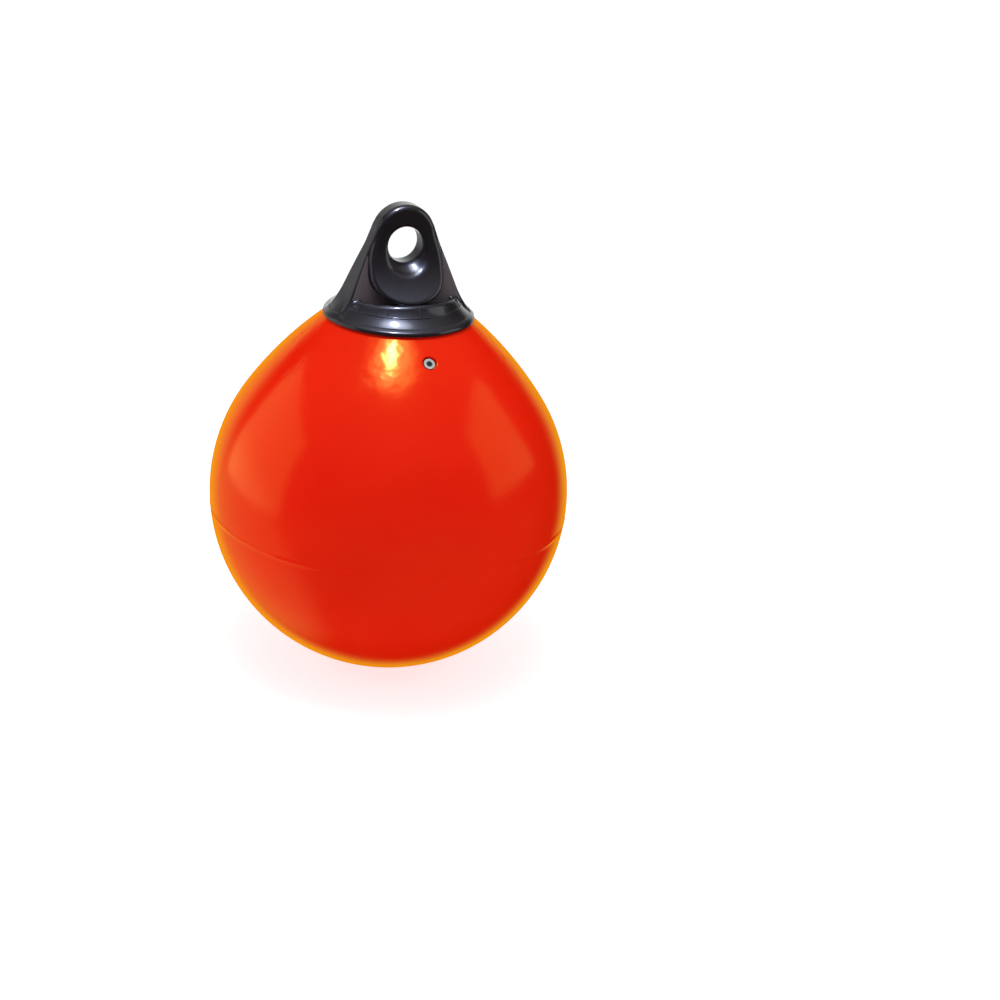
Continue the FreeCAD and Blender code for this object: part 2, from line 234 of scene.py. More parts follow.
def recess_rings(corners):
    """Rings that start from the corners of the open block."""
    square = np.stack([corners @ valve_side, corners @ valve_up], 1)
    circle = unit_circle(len(corners), math.radians(-135.0))
    rings = [on_skin(square * (1 - share) + circle * LIP_OUTSIDE * share)
             for share in SQUARE_TO_CIRCLE]
    rings += [on_skin(circle * radius) + valve_out * dip for radius, dip in LIP]
    return rings + [in_plane(circle * radius) + valve_out * depth for radius, depth in PIT]


# %% Close the hole and make the skin
def block_edge():
    """Numbers of the grid places round the open block, in order."""
    low, high = valve_ring - BLOCK, valve_ring + BLOCK
    edge = [at(low, column) for column in range(-BLOCK, BLOCK)]
    edge += [at(ring, BLOCK) for ring in range(low, high)]
    edge += [at(high, column) for column in range(BLOCK, -BLOCK, -1)]
    return edge + [at(ring, -BLOCK) for ring in range(high, low, -1)]


def with_recess(positions, faces):
    """The lathed skin with the recess in its open block."""
    outer = block_edge()
    blocks = [positions]
    total = len(positions)
    for ring in recess_rings(positions[outer] - valve_centre):
        inner = list(range(total, total + len(ring)))
        for here in range(len(ring)):
            after = (here + 1) % len(ring)
            faces.append((outer[here], outer[after], inner[after], inner[here]))
        blocks.append(ring)
        total += len(ring)
        outer = inner
    faces.append(tuple(outer))
    return np.concatenate(blocks), faces


def without_loose(positions, faces):
    """The same mesh without the positions that no face uses."""
    used = np.unique(np.concatenate([np.array(face) for face in faces]))
    new_number = np.zeros(len(positions), dtype=int)
    new_number[used] = np.arange(len(used))
    return positions[used], [tuple(int(new_number[corner]) for corner in face) for face in faces]


skin = make_piece("ball_skin", *without_loose(*with_recess(*lathe())), "vinyl_skin", "body")

# %% [markdown]
# ## The rope hold
# The rope hold is one moulding that flows: the wings of the plate run smoothly into the collar, the
# pad swells out of the plate, and the eye opens into a funnel with a scoop below it for the rope.
# Such soft joins are hard to model by hand, and bevels on a boolean often fail there. Here each
# form is a distance field, a formula that says how far a place is from its surface, and a soft
# minimum melts one field into the next like a fillet.


# %% Soft joins between distance fields
def soft_join(first, second, blend):
    """Both forms as one, with a fillet about as wide as blend in the corner between them."""
    near = np.maximum(blend - np.abs(first - second), 0.0) / blend
    return np.minimum(first, second) - near * near * blend / 4


def soft_cut(form, cutter, blend):
    """The form without the cutter, with the new edge rounded."""
    return -soft_join(-form, cutter, blend)


def soft_meet(first, second, blend):
    """Only what lies in both forms, with the edge between them rounded."""
    return -soft_join(-first, -second, blend)


# %% [markdown]
# ### Collar
# The collar is the turned foot of the moulding, which is bonded to the ball. A lathe could make it,
# but then its fillets to the plate would be missing, so it is a field as well. Its skirt is a
# hollow arc, so the field is the distance from the arc's centre, turned inside out. A lip runs
# round the foot of the skirt, and a pocket is sunk into the top, which leaves a ring round the
# plate.

# %% Sizes of the collar
RIM_RADIUS = 111.0
COLLAR_TOP = (80.5, RIM_Z + 36.0)
SKIRT_FOOT = (107.0, RIM_Z + 6.0)
SKIRT_RADIUS = 66.0
LIP_TOP_RADIUS = 109.6
LIP_START = 103.5
LIP_STEP = 0.8
POCKET_RADIUS = 73.5
POCKET_FLOOR_Z = COLLAR_TOP[1] - 14.0
RING_DIP = 4.5
RING_DIP_REACH = 70.0
FAR_OUTSIDE = 20.0

LIP_EDGE = 1.0
LIP_FILLET = 0.8
RIM_EDGE = 1.5
RING_EDGE = 4.0
POCKET_FILLET = 9.0
POCKET_EDGE = 4.0
FOOT_EDGE = 1.2

chord = np.array(COLLAR_TOP) - np.array(SKIRT_FOOT)
chord_length = math.hypot(*chord)
skirt_outward = np.array([chord[1], -chord[0]]) / chord_length
skirt_centre = ((np.array(COLLAR_TOP) + np.array(SKIRT_FOOT)) / 2
                + skirt_outward * math.sqrt(SKIRT_RADIUS ** 2 - chord_length ** 2 / 4))
print("skirt's arc has its centre at", skirt_centre.round(1))


# %% The collar's field
def leaning(r, z, low, high):
    """Distance outside the straight line that leans in from a low place to a high one."""
    run, rise = high[0] - low[0], high[1] - low[1]
    return ((r - low[0]) * rise - (z - low[1]) * run) / math.hypot(run, rise)


def collar_field(x, y, z):
    """The turned foot. Its ring is a little lower towards the wings."""
    r = np.hypot(x, y)
    skirt = SKIRT_RADIUS - np.hypot(r - skirt_centre[0], z - skirt_centre[1])
    beyond = (r > skirt_centre[0]) | (z > skirt_centre[1])
    skirt = np.where(beyond, np.maximum(skirt, FAR_OUTSIDE), skirt)
    lip = soft_meet(skirt - LIP_STEP, LIP_START - r, LIP_EDGE)
    collar = soft_join(skirt, lip, LIP_FILLET)
    side = leaning(r, z, (RIM_RADIUS, RIM_Z), (LIP_TOP_RADIUS, SKIRT_FOOT[1]))
    collar = soft_meet(collar, side, RIM_EDGE)
    top = COLLAR_TOP[1] - RING_DIP * (x / RING_DIP_REACH) ** 2
    collar = soft_meet(collar, z - top, RING_EDGE)
    pocket = soft_meet(r - POCKET_RADIUS, POCKET_FLOOR_Z - z, POCKET_FILLET)
    collar = soft_cut(collar, pocket, POCKET_EDGE)
    return soft_meet(collar, RIM_Z - z, FOOT_EDGE)


# %% The seat, which is the top of the ball
CROWN_RADIUS = 900.0
SEAT_BLEND = 8.0


def seat_field(x, y, z):
    """The crown and the shoulder of the ball, on which the rope hold sits."""
    r = np.hypot(x, y)
    crown = np.hypot(r, z - CROWN_TOP + CROWN_RADIUS) - CROWN_RADIUS
    shoulder = np.hypot(r - shoulder_r, z - shoulder_z) - SHOULDER_RADIUS
    return soft_meet(crown, shoulder, SEAT_BLEND)


# %% [markdown]
# ### Web
# The web is the plate that carries the load from the eye down into the collar. It gets wider and
# thicker towards its foot, and its two wings flare out into the skirt. A box whose half sizes
# change with the height does this, and the rounding of its edges grows downwards too.

# %% The web, a plate whose wings run down to the collar
WEB_HALF_WIDTH = 53.4
WEB_SLOPE = 0.415
WEB_HALF = 12.3
WEB_LEAN = 0.19
WEB_FOOT_Z = -99.0
WEB_TOP_Z = 30.0
WEB_END_BLEND = 6.0
WEB_TRUE_DISTANCE = 0.91
FLARE = 0.005
FLARE_DROP = 62.0
WEB_EDGE = 2.5
WEB_EDGE_GROWTH = 0.0011
WEB_EDGE_DROP = 16.0


def web_field(x, y, z):
    """The plate. As its sides lean, the field is scaled to be close to a true distance."""
    drop = np.maximum(-z, 0.0)
    flare = FLARE * np.maximum(drop - FLARE_DROP, 0.0) ** 2
    half_width = WEB_HALF_WIDTH - z * WEB_SLOPE + flare
    half_thickness = WEB_HALF + WEB_LEAN * drop
    rounding = WEB_EDGE + WEB_EDGE_GROWTH * np.maximum(drop - WEB_EDGE_DROP, 0.0) ** 2
    over_x = np.abs(x) - half_width + rounding
    over_y = np.abs(y) - half_thickness + rounding
    plate = np.hypot(np.maximum(over_x, 0.0), np.maximum(over_y, 0.0))
    plate += np.minimum(np.maximum(over_x, over_y), 0.0) - rounding
    plate *= WEB_TRUE_DISTANCE
    plate = soft_meet(plate, z - WEB_TOP_Z, WEB_END_BLEND)
    return soft_meet(plate, WEB_FOOT_Z - z, WEB_END_BLEND)


print("web is", 2 * WEB_HALF_WIDTH, "mm wide and", 2 * WEB_HALF, "mm thick at the eye's centre")

# %% [markdown]
# ### Pad
# The pad is the thick egg-shaped part round the eye, which spreads the pull of the rope. Its
# outline is drawn as on a drawing, with arcs and straight runs that touch: a round head, straight
# flanks, a long turn, tight lower corners and a flat bottom arc. Its faces are hollow arcs, so the
# pad stands out more and more towards its lower edge.

# %% The pad's outline
PAD_HEAD_Z = 13.45
PAD_HEAD_RADIUS = 44.5
PAD_FLANK = math.radians(17.5)
PAD_HALF_WIDTH = 50.9
PAD_TURN_Z = -2.0
PAD_TURN_RADIUS = 90.0
PAD_CORNER_Z = -38.0
PAD_CORNER_RADIUS = 36.0
PAD_BOTTOM_Z = -78.5

turn_start = (PAD_HALF_WIDTH - PAD_TURN_Z * math.tan(PAD_FLANK), PAD_TURN_Z)
turn_centre = (turn_start[0] - PAD_TURN_RADIUS * math.cos(PAD_FLANK),
               turn_start[1] - PAD_TURN_RADIUS * math.sin(PAD_FLANK))
flank_top = (PAD_HEAD_RADIUS * math.cos(PAD_FLANK),
             PAD_HEAD_Z + PAD_HEAD_RADIUS * math.sin(PAD_FLANK))
pad_reach = turn_centre[0] + PAD_TURN_RADIUS
corner_x = pad_reach - PAD_CORNER_RADIUS
corner_depth = PAD_CORNER_Z - PAD_BOTTOM_Z
bottom_radius = ((corner_depth ** 2 + corner_x ** 2 - PAD_CORNER_RADIUS ** 2)
                 / (2 * (corner_depth - PAD_CORNER_RADIUS)))
bottom_z = PAD_BOTTOM_Z + bottom_radius
touch = math.atan2(PAD_CORNER_Z - bottom_z, corner_x)
PAD_ARCS = [(0.0, PAD_HEAD_Z, PAD_HEAD_RADIUS, PAD_FLANK, math.pi / 2),
            (*turn_centre, PAD_TURN_RADIUS, 0.0, PAD_FLANK),
            (corner_x, PAD_CORNER_Z, PAD_CORNER_RADIUS, touch, 0.0),
            (0.0, bottom_z, bottom_radius, -math.pi / 2, touch)]
PAD_LINES = [(turn_start, flank_top), ((pad_reach, PAD_CORNER_Z), (pad_reach, turn_centre[1]))]
print("pad is", round(2 * pad_reach, 1), "mm wide, its bottom arc has radius",
      round(bottom_radius, 1))


# %% Distance from the pad's outline
DEEP_INSIDE = -25.0


def nearest_run(found, away, faced):
    """Takes the new distance where a place faces that run and lies nearer to it or outside."""
    better = faced & ((np.abs(away) < np.abs(found)) | (away > 0))
    return np.where(better, away, found)


def pad_outline(x, z):
    """Distance outside the pad's outline, from the arc or straight run that a place faces."""
    x = np.abs(x)
    found = np.full(np.broadcast(x, z).shape, DEEP_INSIDE)
    for centre_x, centre_z, radius, low, high in PAD_ARCS:
        angle = np.arctan2(z - centre_z, x - centre_x)
        away = np.hypot(x - centre_x, z - centre_z) - radius
        found = nearest_run(found, away, (angle >= low) & (angle <= high))
    for low, high in PAD_LINES:
        run, rise = high[0] - low[0], high[1] - low[1]
        share = ((x - low[0]) * run + (z - low[1]) * rise) / (run * run + rise * rise)
        found = nearest_run(found, leaning(x, z, low, high), (share > 0) & (share < 1))
    return found


# %% The pad's field
PAD_TOP_HALF = 18.0
PAD_HOLLOW = 130.0
PAD_HOLLOW_TOP_Z = 25.0
PAD_EDGE = 9.0


def pad_field(x, y, z):
    """The outline made thick, with hollow faces and a round edge."""
    over_side = pad_outline(x, z) + PAD_EDGE
    drop = np.maximum(PAD_HOLLOW_TOP_Z - z, 0.0)
    over_face = PAD_EDGE + PAD_HOLLOW - np.hypot(PAD_TOP_HALF + PAD_HOLLOW - np.abs(y), drop)
    pad = np.hypot(np.maximum(over_side, 0.0), np.maximum(over_face, 0.0))
    return pad + np.minimum(np.maximum(over_side, over_face), 0.0) - PAD_EDGE


# %% [markdown]
# ### Eye
# The rope goes through the eye, so nothing there may be sharp. Three booleans with bevels would
# leave creases where they meet. Instead a straight bore, a cone to each side and a wide ball for
# the scoop are joined softly into one cutter, as if one round tool had cut the whole hole.

# %% The eye: a straight bore, a funnel to each side and a scoop below it
EYE_RADIUS = 26.0
EYE_HALF_LAND = 12.5
FUNNEL = math.radians(26.0)
FUNNEL_BLEND = 1.0
SCOOP_Y, SCOOP_Z = 46.0, -9.0
SCOOP_RADIUS = 33.0
SCOOP_WIDER = 40.0 / 33.0
SCOOP_BLEND = 3.0


def eye_field(x, y, z):
    """The cutter for the eye, the same on both faces."""
    y = np.abs(y)
    around = np.hypot(x, z)
    wider = (y - EYE_HALF_LAND) * math.tan(FUNNEL)
    funnel = (around - EYE_RADIUS - wider) * math.cos(FUNNEL)
    eye = soft_join(around - EYE_RADIUS, funnel, FUNNEL_BLEND)
    scoop = np.sqrt((x / SCOOP_WIDER) ** 2 + (y - SCOOP_Y) ** 2 + (z - SCOOP_Z) ** 2)
    return soft_join(eye, scoop - SCOOP_RADIUS, SCOOP_BLEND)


print("eye is", 2 * EYE_RADIUS, "mm wide and straight for", 2 * EYE_HALF_LAND, "mm")

# %% The whole rope hold
PAD_FILLET = 3.0
EYE_EDGE = 3.5
RING_OUTSIDE = 80.0
WING_FOOT = 94.0
RING_FILLET = 2.0
WING_EXTRA_FILLET = 4.5


def hold_field(x, y, z):
    """Negative inside, zero on the surface. The fillet to the collar is widest at the wings."""
    plate = soft_join(web_field(x, y, z), pad_field(x, y, z), PAD_FILLET)
    plate = soft_cut(plate, eye_field(x, y, z), EYE_EDGE)
    outward = np.clip((np.hypot(x, y) - RING_OUTSIDE) / (WING_FOOT - RING_OUTSIDE), 0.0, 1.0)
    hold = soft_join(collar_field(x, y, z), plate, RING_FILLET + WING_EXTRA_FILLET * outward)
    return np.maximum(hold, -seat_field(x, y, z))


# %% [markdown]
# ### From the field to a mesh
# Surface nets turn a field into quads: every cell of a grid that the surface crosses gets one
# vertex, and every grid edge that it crosses gets one face between the four cells round that edge.
# The rope hold is the same on both sides, so a quarter of the field is worked out and mirrored. A
# remesh of a rough model would do this too, but it leaves steps. Here a few Newton steps along the
# field's slope put each vertex exactly on the surface.

# %% Sample the field on a grid
CORNERS = [(a, b, c) for a in (0, 1) for b in (0, 1) for c in (0, 1)]


def mirrored_grid(field, reach, low_z, high_z, cell):
    """Values of a field that is the same on both sides in x and y, and the first grid place."""
    half = np.arange(int(reach / cell) + 1) * cell + cell / 2
    height = np.arange(low_z, high_z + cell, cell)
    quarter = field(half[:, None, None], half[None, :, None], height[None, None, :])
    grid = np.concatenate([quarter[::-1], quarter], 0)
    grid = np.concatenate([grid[:, ::-1], grid], 1).astype(np.float32)
    return grid, np.array([-half[-1], -half[-1], height[0]])


def crossed_cells(inside):
    """The cells that the surface crosses, and a table with the number of each."""
    shape = tuple(size - 1 for size in inside.shape)
    count = np.zeros(shape, dtype=np.int8)
    for corner in CORNERS:
        count += inside[tuple(slice(start, start + size) for start, size in zip(corner, shape))]
    cells = np.argwhere((count > 0) & (count < len(CORNERS)))
    number = np.full(shape, -1, dtype=np.int64)
    number[tuple(cells.T)] = np.arange(len(cells))
    return cells, number


# %% Vertices and quads of a surface net
def net_vertices(grid, cells):
    """In each cell, the mean of the places where its edges cross the surface."""
    total = np.zeros((len(cells), 3))
    hits = np.zeros(len(cells))
    for first in CORNERS:
        for axis in range(3):
            if first[axis]:
                continue
            second = tuple(1 if place == axis else value for place, value in enumerate(first))
            low = grid[tuple((cells + first).T)]
            high = grid[tuple((cells + second).T)]
            crossed = (low < 0) != (high < 0)
            spot = np.tile(np.array(first, dtype=float), (len(cells), 1))
            spot[:, axis] = np.where(crossed, low / np.where(crossed, low - high, 1.0), 0.0)
            total += spot * crossed[:, None]
            hits += crossed
    return cells + total / hits[:, None]


def net_quads(inside, number):
    """One face for each grid edge that the surface crosses, turned to face outwards."""
    axes = np.eye(3, dtype=int)
    quads = []
    for axis in range(3):
        step, other, third = axes[axis], axes[(axis + 1) % 3], axes[(axis + 2) % 3]
        low = inside[tuple(slice(0, size - add) for size, add in zip(inside.shape, step))]
        high = inside[tuple(slice(add, None) for add in step)]
        edges = np.argwhere(low != high)
        ring = [edges - other - third, edges - third, edges, edges - other]
        ids = np.stack([number[tuple(place.T)] for place in ring], 1)
        turned = ~low[tuple(edges.T)]
        ids[turned] = ids[turned][:, ::-1]
        quads.append(ids)
    return np.concatenate(quads)


# %% Settle the vertices on the surface
def settle(field, vertices, rounds=4, tiny=0.02, flattest=0.2, longest=0.6):
    """Vertices moved along the field's slope until they lie on its surface."""
    for _ in range(rounds):
        slope = np.empty_like(vertices)
        for axis in range(3):
            push = np.eye(3)[axis] * tiny
            rise = field(*(vertices + push).T) - field(*(vertices - push).T)
            slope[:, axis] = rise / (2 * tiny)
        steep = np.maximum((slope ** 2).sum(1), flattest)
        move = slope * (field(*vertices.T) / steep)[:, None]
        length = np.linalg.norm(move, axis=1)
        move *= np.minimum(1.0, longest / np.maximum(length, 1e-9))[:, None]
        vertices = vertices - move
    return vertices


NET_REACH = 113.0
NET_LOW_Z = RIM_Z - 2.0
NET_HIGH_Z = 61.0
NET_CELL = 1.42

hold_grid, first_place = mirrored_grid(hold_field, NET_REACH, NET_LOW_Z, NET_HIGH_Z, NET_CELL)
hold_cells, cell_number = crossed_cells(hold_grid < 0)
hold_vertices = first_place + net_vertices(hold_grid, hold_cells) * NET_CELL
hold_vertices = settle(hold_field, hold_vertices)
hold_quads = net_quads(hold_grid < 0, cell_number)
print("rope hold's field left by", np.abs(hold_field(*hold_vertices.T)).max().round(3), "mm")

# %% [markdown]
# ### Raised lines on the skirt
# A level line runs round the skirt with short uprights above it. They stand less than a millimetre
# proud, which is too fine for the grid, so they are swept as thin half-round ribs along the skirt's
# curve. They are added to the same mesh, because on the real hold they are part of the same
# moulding.

# %% Section of a rib and its place on the skirt
LINE_Z = COLLAR_TOP[1] - 15.0
UPRIGHT_TOP_Z = COLLAR_TOP[1] - 3.5
UPRIGHTS = 12
LINE_SECTIONS = 360
UPRIGHT_SECTIONS = 9
RIB_HALF = 0.9
RIB_PROUD = 0.8
RIB_SUNK = 0.8
RIB_END_LIFT = 0.3825
RIB_SECTION = [(-RIB_HALF, -RIB_SUNK), (RIB_HALF, -RIB_SUNK)]
RIB_SECTION += [(RIB_HALF * math.cos(turn), RIB_PROUD * math.sin(turn))
                for turn in np.linspace(0, math.pi, 7)]


def skirt_place(z, out):
    """(r, z) at a height on the skirt, moved out from it towards the centre of its curve."""
    rise = z - skirt_centre[1]
    angle = math.atan2(rise, -math.sqrt(SKIRT_RADIUS ** 2 - rise ** 2))
    return (skirt_centre[0] + (SKIRT_RADIUS - out) * math.cos(angle),
            skirt_centre[1] + (SKIRT_RADIUS - out) * math.sin(angle))


def sweep(sections, closed):
    """Faces between like sections in a row; an open row is capped at both ends."""
    size = len(RIB_SECTION)
    faces = []
    for row in range(len(sections) - (0 if closed else 1)):
        here, there = row * size, (row + 1) % len(sections) * size
        for corner in range(size):
            after = (corner + 1) % size
            faces.append((here + corner, here + after, there + after, there + corner))
    if not closed:
        faces.append(tuple(range(size - 1, -1, -1)))
        faces.append(tuple(range((len(sections) - 1) * size, len(sections) * size)))
    return np.concatenate(sections), faces


# %% The level line and the uprights
def level_line():
    """A closed rib round the skirt."""
    sections = []
    for turn in np.linspace(0, 2 * math.pi, LINE_SECTIONS, endpoint=False):
        places = [skirt_place(LINE_Z + width, out) for width, out in RIB_SECTION]
        sections.append([(r * math.cos(turn), r * math.sin(turn), z) for r, z in places])
    return sweep(sections, True)


def upright(turn):
    """A short rib up the skirt, lower at both ends."""
    across = np.array([-math.sin(turn), math.cos(turn)])
    outward = np.array([math.cos(turn), math.sin(turn)])
    sections = []
    for height in np.linspace(LINE_Z, UPRIGHT_TOP_Z, UPRIGHT_SECTIONS):
        lift = RIB_END_LIFT if height in (LINE_Z, UPRIGHT_TOP_Z) else 1.0
        section = []
        for width, out in RIB_SECTION:
            r, z = skirt_place(height, out * lift if out > 0 else out)
            section.append((*(outward * r + across * width), z))
        sections.append(section)
    return sweep(sections, False)


def joined(parts):
    """Several meshes as one."""
    positions, faces, base = [], [], 0
    for part_positions, part_faces in parts:
        positions.append(part_positions)
        faces += [tuple(int(corner) + base for corner in face) for face in part_faces]
        base += len(part_positions)
    return np.concatenate(positions), faces


ribs = [level_line()]
ribs += [upright(2 * math.pi * number / UPRIGHTS) for number in range(UPRIGHTS)]
hold = make_piece("rope_hold_moulding", *joined([(hold_vertices, hold_quads.tolist())] + ribs),
                  "vinyl_black", "rope_hold")

# %% [markdown]
# ## Materials
# Every finish is procedural, so it needs no pictures and stays sharp at any distance. Two effects
# come back in all of them, so each is a shader node group: one that breaks up a colour softly, and
# one that gives the small unevenness of moulded vinyl. A few helpers keep the node code short.


# %% Helpers for shader nodes
def feed(tree, socket, value):
    """Gives a socket a constant, or the output of another node."""
    if isinstance(value, bpy.types.NodeSocket):
        tree.links.new(value, socket)
    else:
        socket.default_value = value


def add_node(tree, kind, inputs, **settings):
    """A new node with its settings, and its inputs fed by label or number."""
    node = tree.nodes.new("ShaderNode" + kind)
    for label, value in settings.items():
        setattr(node, label, value)
    for label, value in inputs.items():
        feed(tree, node.inputs[label], value)
    return node


def maths(tree, operation, *values):
    """The result of one sum on numbers or outputs."""
    return add_node(tree, "Math", dict(enumerate(values)), operation=operation).outputs[0]


def ranged(tree, value, low, high, to_low=0.0, to_high=1.0, curve="LINEAR"):
    """A value mapped from one range to another and held at both ends."""
    limits = {"Value": value, "From Min": low, "From Max": high, "To Min": to_low,
              "To Max": to_high}
    return add_node(tree, "MapRange", limits, interpolation_type=curve).outputs["Result"]


def clouds(tree, scale, detail=3.0, roughness=0.5):
    """Noise that sticks to the object."""
    place = add_node(tree, "TexCoord", {}).outputs["Object"]
    return add_node(tree, "TexNoise", {"Vector": place, "Scale": scale, "Detail": detail,
                                       "Roughness": roughness}).outputs["Fac"]


# %% Groups for the tone and the surface
CLOUD_LOW, CLOUD_HIGH = 0.3, 0.7
PATCH_SCALE = 14.0


def new_group(name, inputs, outputs):
    """An empty shader group; each input has a number or a colour to start with."""
    group = bpy.data.node_groups.new(name, "ShaderNodeTree")
    for label, value in inputs.items():
        kind = "NodeSocketFloat" if isinstance(value, float) else "NodeSocketColor"
        socket = group.interface.new_socket(label, in_out="INPUT", socket_type=kind)
        socket.default_value = value
    for label, kind in outputs.items():
        group.interface.new_socket(label, in_out="OUTPUT", socket_type=kind)
    return group, group.nodes.new("NodeGroupInput"), group.nodes.new("NodeGroupOutput")


def tone_group():
    """Mixes two tones of one colour by a soft cloud."""
    group, given, result = new_group(
        "soft_tone",
        {"Main": (0.5, 0.5, 0.5, 1.0), "Other": (0.4, 0.4, 0.4, 1.0), "Scale": 6.0},
        {"Color": "NodeSocketColor"})
    cloud = ranged(group, clouds(group, given.outputs["Scale"]), CLOUD_LOW, CLOUD_HIGH)
    tones = {"Factor": cloud, 6: given.outputs["Main"], 7: given.outputs["Other"]}
    mix = add_node(group, "Mix", tones, data_type="RGBA")
    feed(group, result.inputs["Color"], mix.outputs[2])
    return group


def moulded_group():
    """Height and roughness of moulded vinyl: long soft waves with a fine skin on them."""
    group, given, result = new_group(
        "moulded_skin",
        {"Wave Scale": 9.0, "Grain Scale": 900.0, "Grain": 0.02, "Rough Low": 0.2,
         "Rough High": 0.3},
        {"Height": "NodeSocketFloat", "Roughness": "NodeSocketFloat"})
    waves = clouds(group, given.outputs["Wave Scale"], 1.0)
    grain = clouds(group, given.outputs["Grain Scale"], 2.0)
    grain = maths(group, "MULTIPLY", grain, given.outputs["Grain"])
    feed(group, result.inputs["Height"], maths(group, "ADD", waves, grain))
    patches = clouds(group, PATCH_SCALE, 4.0)
    rough = ranged(group, patches, CLOUD_LOW, CLOUD_HIGH, given.outputs["Rough Low"],
                   given.outputs["Rough High"])
    feed(group, result.inputs["Roughness"], rough)
    return group


soft_tone = tone_group()
moulded_skin = moulded_group()
print("groups:", soft_tone.name, moulded_skin.name)


# %% A moulded plastic or vinyl made of the two groups
def moulded_material(name, main, other, tone_scale, wave_scale, grain, rough, bump, shine=()):
    """grain is (scale, share), rough is (low, high) and bump is (strength, metres). shine has
    constants for the shader's own sockets."""
    material = bpy.data.materials.new(name)
    material.use_nodes = True
    tree = material.node_tree
    shader = tree.nodes["Principled BSDF"]
    tones = {"Main": (*main, 1.0), "Other": (*other, 1.0), "Scale": tone_scale}
    tone = add_node(tree, "Group", tones, node_tree=soft_tone)
    unevenness = {"Wave Scale": wave_scale, "Grain Scale": grain[0], "Grain": grain[1],
                  "Rough Low": rough[0], "Rough High": rough[1]}
    surface = add_node(tree, "Group", unevenness, node_tree=moulded_skin)
    relief = add_node(tree, "Bump", {"Strength": bump[0], "Distance": bump[1],
                                     "Height": surface.outputs["Height"]})
    feed(tree, shader.inputs["Base Color"], tone.outputs["Color"])
    feed(tree, shader.inputs["Roughness"], surface.outputs["Roughness"])
    feed(tree, shader.inputs["Normal"], relief.outputs["Normal"])
    for label, value in dict(shine).items():
        shader.inputs[label].default_value = value
    print("material", material.name)
    return material, shader


# %% [markdown]
# ### Orange vinyl
# The skin of the ball is soft vinyl with a high gloss. Its colour is nearly pure red-orange, and
# towards the rim of the ball it turns yellow, because the gloss adds a tinted reflection of the
# bright room there. A tinted specular does this without any colour that depends on the view. The
# coat adds no reflection of its own: with a refractive index of 1 it only tints what is below it.

# %% Orange vinyl of the ball
orange_vinyl, orange_shader = moulded_material(
    "orange_vinyl", main=(0.73, 0.0108, 0.0070), other=(0.68, 0.0093, 0.0062), tone_scale=5.0,
    wave_scale=7.0, grain=(700.0, 0.01), rough=(0.15, 0.20), bump=(0.35, 0.0016),
    shine={"IOR": 1.48, "Specular Tint": (1.0, 0.62, 0.17, 1.0), "Coat Weight": 1.0,
           "Coat IOR": 1.0, "Coat Tint": (1.0, 0.955, 0.55, 1.0)})
skin.data.materials.append(orange_vinyl)

# %% [markdown]
# ### Ripples in the skin
# Just under the rope hold the moulded skin is not quite even, which breaks up the bright spot.
# These waves are a fraction of a millimetre high, so a second bump on top of the first is enough.
# It fades out down the shoulder, where the real skin is pulled smooth by the air.

# %% Small ripples in the skin below the rope hold
RIPPLE_TOP_Z = -0.150
RIPPLE_END_Z = -0.205
RIPPLE_SCALE = 34.0
RIPPLE_DEPTH = 0.0011


def ripple(tree, shader):
    """A second bump, on top of the first, that fades out down the shoulder."""
    place = add_node(tree, "TexCoord", {}).outputs["Object"]
    height = add_node(tree, "SeparateXYZ", {"Vector": place}).outputs["Z"]
    fade = ranged(tree, height, RIPPLE_END_Z, RIPPLE_TOP_Z, curve="SMOOTHSTEP")
    waves = maths(tree, "MULTIPLY", clouds(tree, RIPPLE_SCALE, 2.0, 0.45), fade)
    first_bump = shader.inputs["Normal"].links[0].from_socket
    relief = add_node(tree, "Bump", {"Distance": RIPPLE_DEPTH, "Height": waves,
                                     "Normal": first_bump})
    feed(tree, shader.inputs["Normal"], relief.outputs["Normal"])


ripple(orange_vinyl.node_tree, orange_shader)
print("ripples end", round(-RIPPLE_END_Z / MM), "mm below the eye")

# %% [markdown]
# ### Black vinyl
# The rope hold is a harder black vinyl, smooth but not polished. One roughness would give it either
# a wide dull shine or a small sharp one, and the real one has both. So the base is rather rough and
# a smoother coat lies over it. The tint is a little blue, as black vinyl is in daylight.

# %% Black vinyl of the rope hold
black_vinyl, black_shader = moulded_material(
    "black_vinyl", main=(0.0085, 0.0058, 0.0062), other=(0.011, 0.008, 0.0085), tone_scale=9.0,
    wave_scale=22.0, grain=(1100.0, 0.03), rough=(0.34, 0.40), bump=(0.30, 0.0010),
    shine={"IOR": 1.42, "Specular Tint": (0.72, 0.80, 1.0, 1.0), "Coat IOR": 1.42,
           "Coat Roughness": 0.12})
hold.data.materials.append(black_vinyl)

# %% [markdown]
# ### Matt faces of the web, with painted sheen
# The flat faces of the web, beside the pad, are matt on the real hold, and its narrow sides are matt
# too. The flat faces are also given a paler colour, which is painted sheen: it stands in for the
# light from above that these faces catch as they lean out downwards. Painting a mask by hand would
# be tied to one mesh. A mask from the place and the direction of a face finds them by itself: the
# flat faces lie close to the web's plane, which leans out downwards, and face front or back, and the
# narrow sides face left or right.

# %% Mask of the web's matt faces and of their painted sheen
# Paler colour painted on the web's flat faces: a painted sheen, not the vinyl's own colour.
WEB_PAINTED_SHEEN = (0.085, 0.066, 0.072, 1.0)
# Where the masks start and are full: millimetres over the web's face, cosines of the normal with
# the Y and the X axis, and the height in metres.
WEB_FADE = (2.5, 0.8)
FACING_FADE = (0.86, 0.94)
SIDEWAYS_FADE = (0.72, 0.86)
FOOT_FADE_Z = (-0.098, -0.090)


